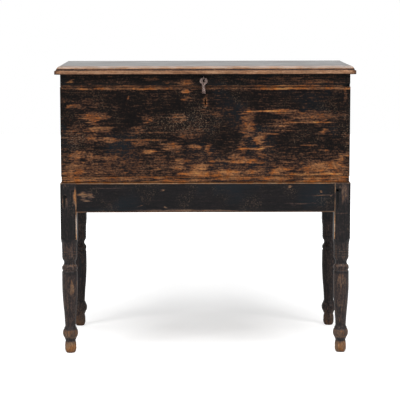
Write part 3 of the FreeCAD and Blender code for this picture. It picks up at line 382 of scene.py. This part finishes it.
def front_leg_wear(tree, x, y, z):
    """Front legs: brown feet and rings, a mottled vase, black paint in the turned lines, and painted posts.

    The three turned lines of the drum are 8 mm apart, the lowest at 306 mm. The thin lighter band on the
    collar's top rim, 274 to 277 mm, is partly rubbed wear and partly a painted highlight.
    """
    share = add(tree, "Math", (z, 1 / STAND_TOP), operation="MULTIPLY")
    # A thin band on the collar's top rim, 274 to 277 mm, is rubbed lighter: partly wear, partly a painted
    # highlight
    turning = add(tree, "ValToRGB", (share,), stops=[
        (0.000, 0.75), (0.012, 1.05), (0.045, 1.15), (0.066, 0.75), (0.072, 0.20), (0.083, 0.30),
        (0.094, 0.75), (0.133, 0.75), (0.141, 0.35), (0.151, 0.30), (0.207, 0.36), (0.330, 0.42),
        (0.460, 0.40), (0.478, 0.15), (0.484, 0.42), (0.510, 0.45), (0.516, 0.65), (0.522, 0.65),
        (0.527, 0.20), (0.552, 0.25), (0.565, 0.40), (0.650, 0.32), (0.663, 0.10), (0.993, 0.10),
        (0.998, 0.80),
    ])
    above = add(tree, "Math", (z, 0.306), operation="SUBTRACT")
    off_line = add(tree, "Math", (above, 0.004), operation="PINGPONG")
    lines = add(tree, "MapRange", (off_line, 0.0006, 0.0022, -0.5, 0.12))
    drum = add(tree, "Math", (z, 0.314, 0.0115), operation="COMPARE")
    return add(tree, "Math", (lines, drum, turning), operation="MULTIPLY_ADD")


def back_leg_wear(tree, x, y, z):
    """Back legs: darker than the front ones, with brown feet."""
    share = add(tree, "Math", (z, 1 / STAND_TOP), operation="MULTIPLY")
    return add(tree, "ValToRGB", (share,), stops=[
        (0.000, 0.70), (0.080, 0.50), (0.150, 0.25), (0.500, 0.25), (0.640, 0.35), (0.700, 0.10),
    ])


# One paint for each run of the grain and each way of wearing
paint_front = worn_paint(
    "black_oil_paint_front", "X", case_wear, CASE_PLACES, CASE_SPLITS, CASE_FRONT, inside_case,
    cloudy=0.24, scuffs=CASE_SCUFFS, cracks=CASE_CRACKS,
)
paint_back = worn_paint("black_oil_paint_back", "X", case_wear, raw=inside_case)
paint_ends = worn_paint("black_oil_paint_ends", "Y", case_wear, raw=inside_case)
paint_bottom = worn_paint("black_oil_paint_bottom", "X", bottom_wear, raw=inside_case)
paint_skirt = worn_paint(
    "black_oil_paint_skirt", "X", skirt_wear, SKIRT_PLACES, front=SKIRT_FRONT, raw=inside_case,
    shine=0.14, cracks=SKIRT_CRACKS,
)
paint_skirt_ends = worn_paint("black_oil_paint_skirt_ends", "Y", skirt_wear, raw=inside_case)
paint_lid = worn_paint(
    "black_oil_paint_lid", "X", lid_wear, raw=under_lid, wood=TAN_WOOD_AND_NOSING_SHEEN, cloudy=0.45, stained=0.3,
    marks=(0.3, 0.7), waxed=lid_top,
)
paint_rail = worn_paint(
    "black_oil_paint_rail", "X", rail_wear, RAIL_PLACES, front=RAIL_FRONT, wood=GREY_WOOD, cloudy=0.1,
    marks=(0.3, 0.7), shine=0.13,
)
paint_rail_ends = worn_paint(
    "black_oil_paint_rail_ends", "Y", rail_wear, wood=GREY_WOOD, cloudy=0.1, marks=(0.3, 0.7),
)
paint_leg = worn_paint(
    "black_oil_paint_front_legs", "Z", front_leg_wear, POST_PLACES, POST_SPLITS, POST_FRONT,
    wood=GREY_WOOD, cloudy=0.2, marks=(0.25, 0.85), shine=0.2, satin=0.38, cracks=POST_CRACKS,
)
paint_back_leg = worn_paint(
    "black_oil_paint_back_legs", "Z", back_leg_wear, wood=GREY_WOOD, cloudy=0.1, marks=(0.25, 0.8),
    shine=0.15, satin=0.38,
)


def bare_board(name, along, light, dark):
    """Unpainted aged poplar, planed, as inside old cases.

    The eye sees dull tan-brown wood with grain lines 3.5 mm apart and dirt in clouds of 170 mm.
    """
    made, tree = material(name)
    place = add(tree, "TexCoord", out="Object")
    lines = grain(tree, place, along, 150, 3.5, 4.0)
    cloud = add(tree, "TexNoise", {"Vector": place, "Scale": 1 / (167 * MM), "Detail": 3.0})
    shade = add(tree, "MapRange", (lines, 0.35, 0.65), **SOFT)
    timber = add(tree, "Mix", {0: shade, 6: colour(dark), 7: colour(light)}, **TINT)
    shade = add(tree, "MapRange", (cloud, 0.45, 0.70, 0.0, 0.5), **SOFT)
    timber = add(tree, "Mix", {0: shade, 6: timber, 7: POPLAR_DIRT}, **TINT)
    bump = add(tree, "Bump", {"Height": lines, "Distance": 0.0004, "Strength": 0.4})
    shader = add(tree, "BsdfPrincipled", {"Base Color": timber, "Roughness": 0.75, "Normal": bump})
    add(tree, "OutputMaterial", (shader,))
    return made


def iron(name, dark, light, metal, rough):
    """Hand-forged iron with a brown-black oxide skin, rubbed to grey metal on its high spots.

    The eye sees dark metal with dull and bright mottles 4.5 mm across and a slightly pitted surface.
    """
    made, tree = material(name)
    place = add(tree, "TexCoord", out="Object")
    scale = 1 / (4.545 * MM)
    mottle = add(tree, "TexNoise", {"Vector": place, "Scale": scale, "Detail": 4.0, "Roughness": 0.65})
    shade = add(tree, "MapRange", (mottle, 0.38, 0.66), **SOFT)
    tone = add(tree, "Mix", {0: shade, 6: colour(dark), 7: colour(light)}, **TINT)
    grit = add(tree, "Math", (mottle, 0.3, rough), operation="MULTIPLY_ADD")
    bump = add(tree, "Bump", {"Height": mottle, "Distance": 0.0003, "Strength": 0.5})
    sockets = {"Base Color": tone, "Metallic": metal, "Roughness": grit, "Normal": bump}
    add(tree, "OutputMaterial", (add(tree, "BsdfPrincipled", sockets),))
    return made


poplar = bare_board("aged_poplar", "Y", "8b6c4b", "67492f")
old_iron = iron("oxidised_forged_iron", "1f1b19", "3d3531", 0.5, 0.40)
nail_iron = iron("oxidised_nail_heads", "23211f", "4a4643", 0.4, 0.45)
bare_iron = iron("rubbed_forged_iron", "3a2b27", "b39c94", 0.7, 0.35)

# A node that isn't listed is forged iron
FINISHES = {
    "case_front_board": paint_front, "case_back_board": paint_back,
    "case_left_board": paint_ends, "case_right_board": paint_ends,
    "bottom_front_board": paint_bottom, "bottom_back_board": paint_bottom,
    "lid_front_board": paint_lid, "lid_back_board": paint_lid,
    "lid_front_skirt": paint_skirt, "lid_back_skirt": paint_skirt,
    "lid_left_skirt": paint_skirt_ends, "lid_right_skirt": paint_skirt_ends,
    "front_rail": paint_rail, "back_rail": paint_rail,
    "left_rail": paint_rail_ends, "right_rail": paint_rail_ends,
    "front_left_leg": paint_leg, "front_right_leg": paint_leg,
    "back_left_leg": paint_back_leg, "back_right_leg": paint_back_leg, "rail_pegs": paint_back_leg,
    "left_batten": poplar, "right_batten": poplar, "bin_divider": poplar,
    "lid_nails": nail_iron, "skirt_nails": paint_skirt, "bottom_nails": nail_iron, "batten_nails": nail_iron,
    "hasp": bare_iron, "hasp_staple": bare_iron,
}
for name, item in nodes.items():
    finish = FINISHES.get(name, old_iron)
    if not item.material_slots:
        item.data.materials.append(finish)
    for slot in item.material_slots:
        slot.material = finish


def studio_floor():
    """A wide sheet of matt white paper that keeps the chest's shadow and turns pure white away from it. It
    carries a painted glow for the camera, faint under the chest, stronger beside it and full far off, so that
    only the middle of the shadow shows.
    """
    shape = bmesh.new()
    bmesh.ops.create_grid(shape, x_segments=1, y_segments=1, size=8.0)
    mesh = bpy.data.meshes.new("studio_floor")
    shape.to_mesh(mesh)
    shape.free()
    item = bpy.data.objects.new("studio_floor", mesh)
    bpy.context.scene.collection.objects.link(item)
    made, tree = material("white_paper_with_painted_glow")
    place = add(tree, "TexCoord", out="Object")
    away = add(tree, "VectorMath", (place,), out=1, operation="LENGTH")
    # Painted glow for the camera: faint under the chest, stronger beside it, and full from 1.8 m off
    painted_glow = add(tree, "MapRange", (away, 0.9, 1.8), **SOFT)
    across = add(tree, "Math", (add(tree, "SeparateXYZ", (place,), out="X"), 0.0), operation="ABSOLUTE")
    painted_glow_beside = add(tree, "MapRange", (across, 0.08, 0.42, 0.25, 0.46), **SOFT)
    painted_glow = add(tree, "Math", (painted_glow, painted_glow_beside), operation="MAXIMUM")
    painted_glow = add(tree, "Math", (painted_glow, add(tree, "LightPath", out="Is Camera Ray")), operation="MULTIPLY")
    paper = add(tree, "BsdfDiffuse", ((0.75, 0.75, 0.75, 1),))
    shine = add(tree, "Emission", ((1, 1, 1, 1), painted_glow))
    add(tree, "OutputMaterial", (add(tree, "AddShader", (paper, shine)),))
    mesh.materials.append(made)


studio_floor()

# The room is white behind the chest and dim in front of it: the lid's top shines and the front stays dark
world = bpy.data.worlds.new("studio")
bpy.context.scene.world = world
world.use_nodes = True
sky = world.node_tree
sky.nodes.clear()
ahead = add(sky, "SeparateXYZ", (add(sky, "TexCoord", out="Generated"),), out="Y")
room = add(sky, "MapRange", (ahead, -1.0, 1.0))
room = add(sky, "ValToRGB", (room,), stops=[(0.0, 0.06), (0.45, 0.18), (0.70, 0.85), (1.0, 1.0)])
seen = add(sky, "LightPath", out="Is Camera Ray")
room = add(sky, "Mix", {0: seen, 6: room, 7: (1, 1, 1, 1)}, **TINT)
add(sky, "OutputWorld", (add(sky, "Background", (room, 1.0)),))


def soft_lamp(name, place, aim, size, watts):
    """A soft square lamp pointed at a place."""
    data = bpy.data.lights.new(name, "AREA")
    data.size = size
    data.energy = watts
    item = bpy.data.objects.new(name, data)
    bpy.context.scene.collection.objects.link(item)
    item.location = place
    item.rotation_euler = (Vector(place) - Vector(aim)).to_track_quat("Z", "Y").to_euler()


soft_lamp("left_front_lamp", (-3.2, -2.8, 2.6), (0, 0, 0.6), 1.8, 95)
soft_lamp("right_front_lamp", (3.2, -2.8, 2.2), (0, 0, 0.6), 1.8, 85)
soft_lamp("overhead_lamp", (0.1, -1.3, 3.2), (0, 0, 0.5), 2.2, 95)

# The camera stands 4.6 m in front, a little above the lid, and looks slightly down
view = bpy.data.cameras.new("camera")
view.sensor_width = 36.0
view.lens = 136.35
camera = bpy.data.objects.new("camera", view)
bpy.context.scene.collection.objects.link(camera)
camera.location = (-0.043, -4.816, 1.060)
camera.rotation_euler = (math.radians(82.8), math.radians(0.1), math.radians(-0.34))
bpy.context.scene.camera = camera
bpy.context.scene.view_settings.view_transform = "Standard"
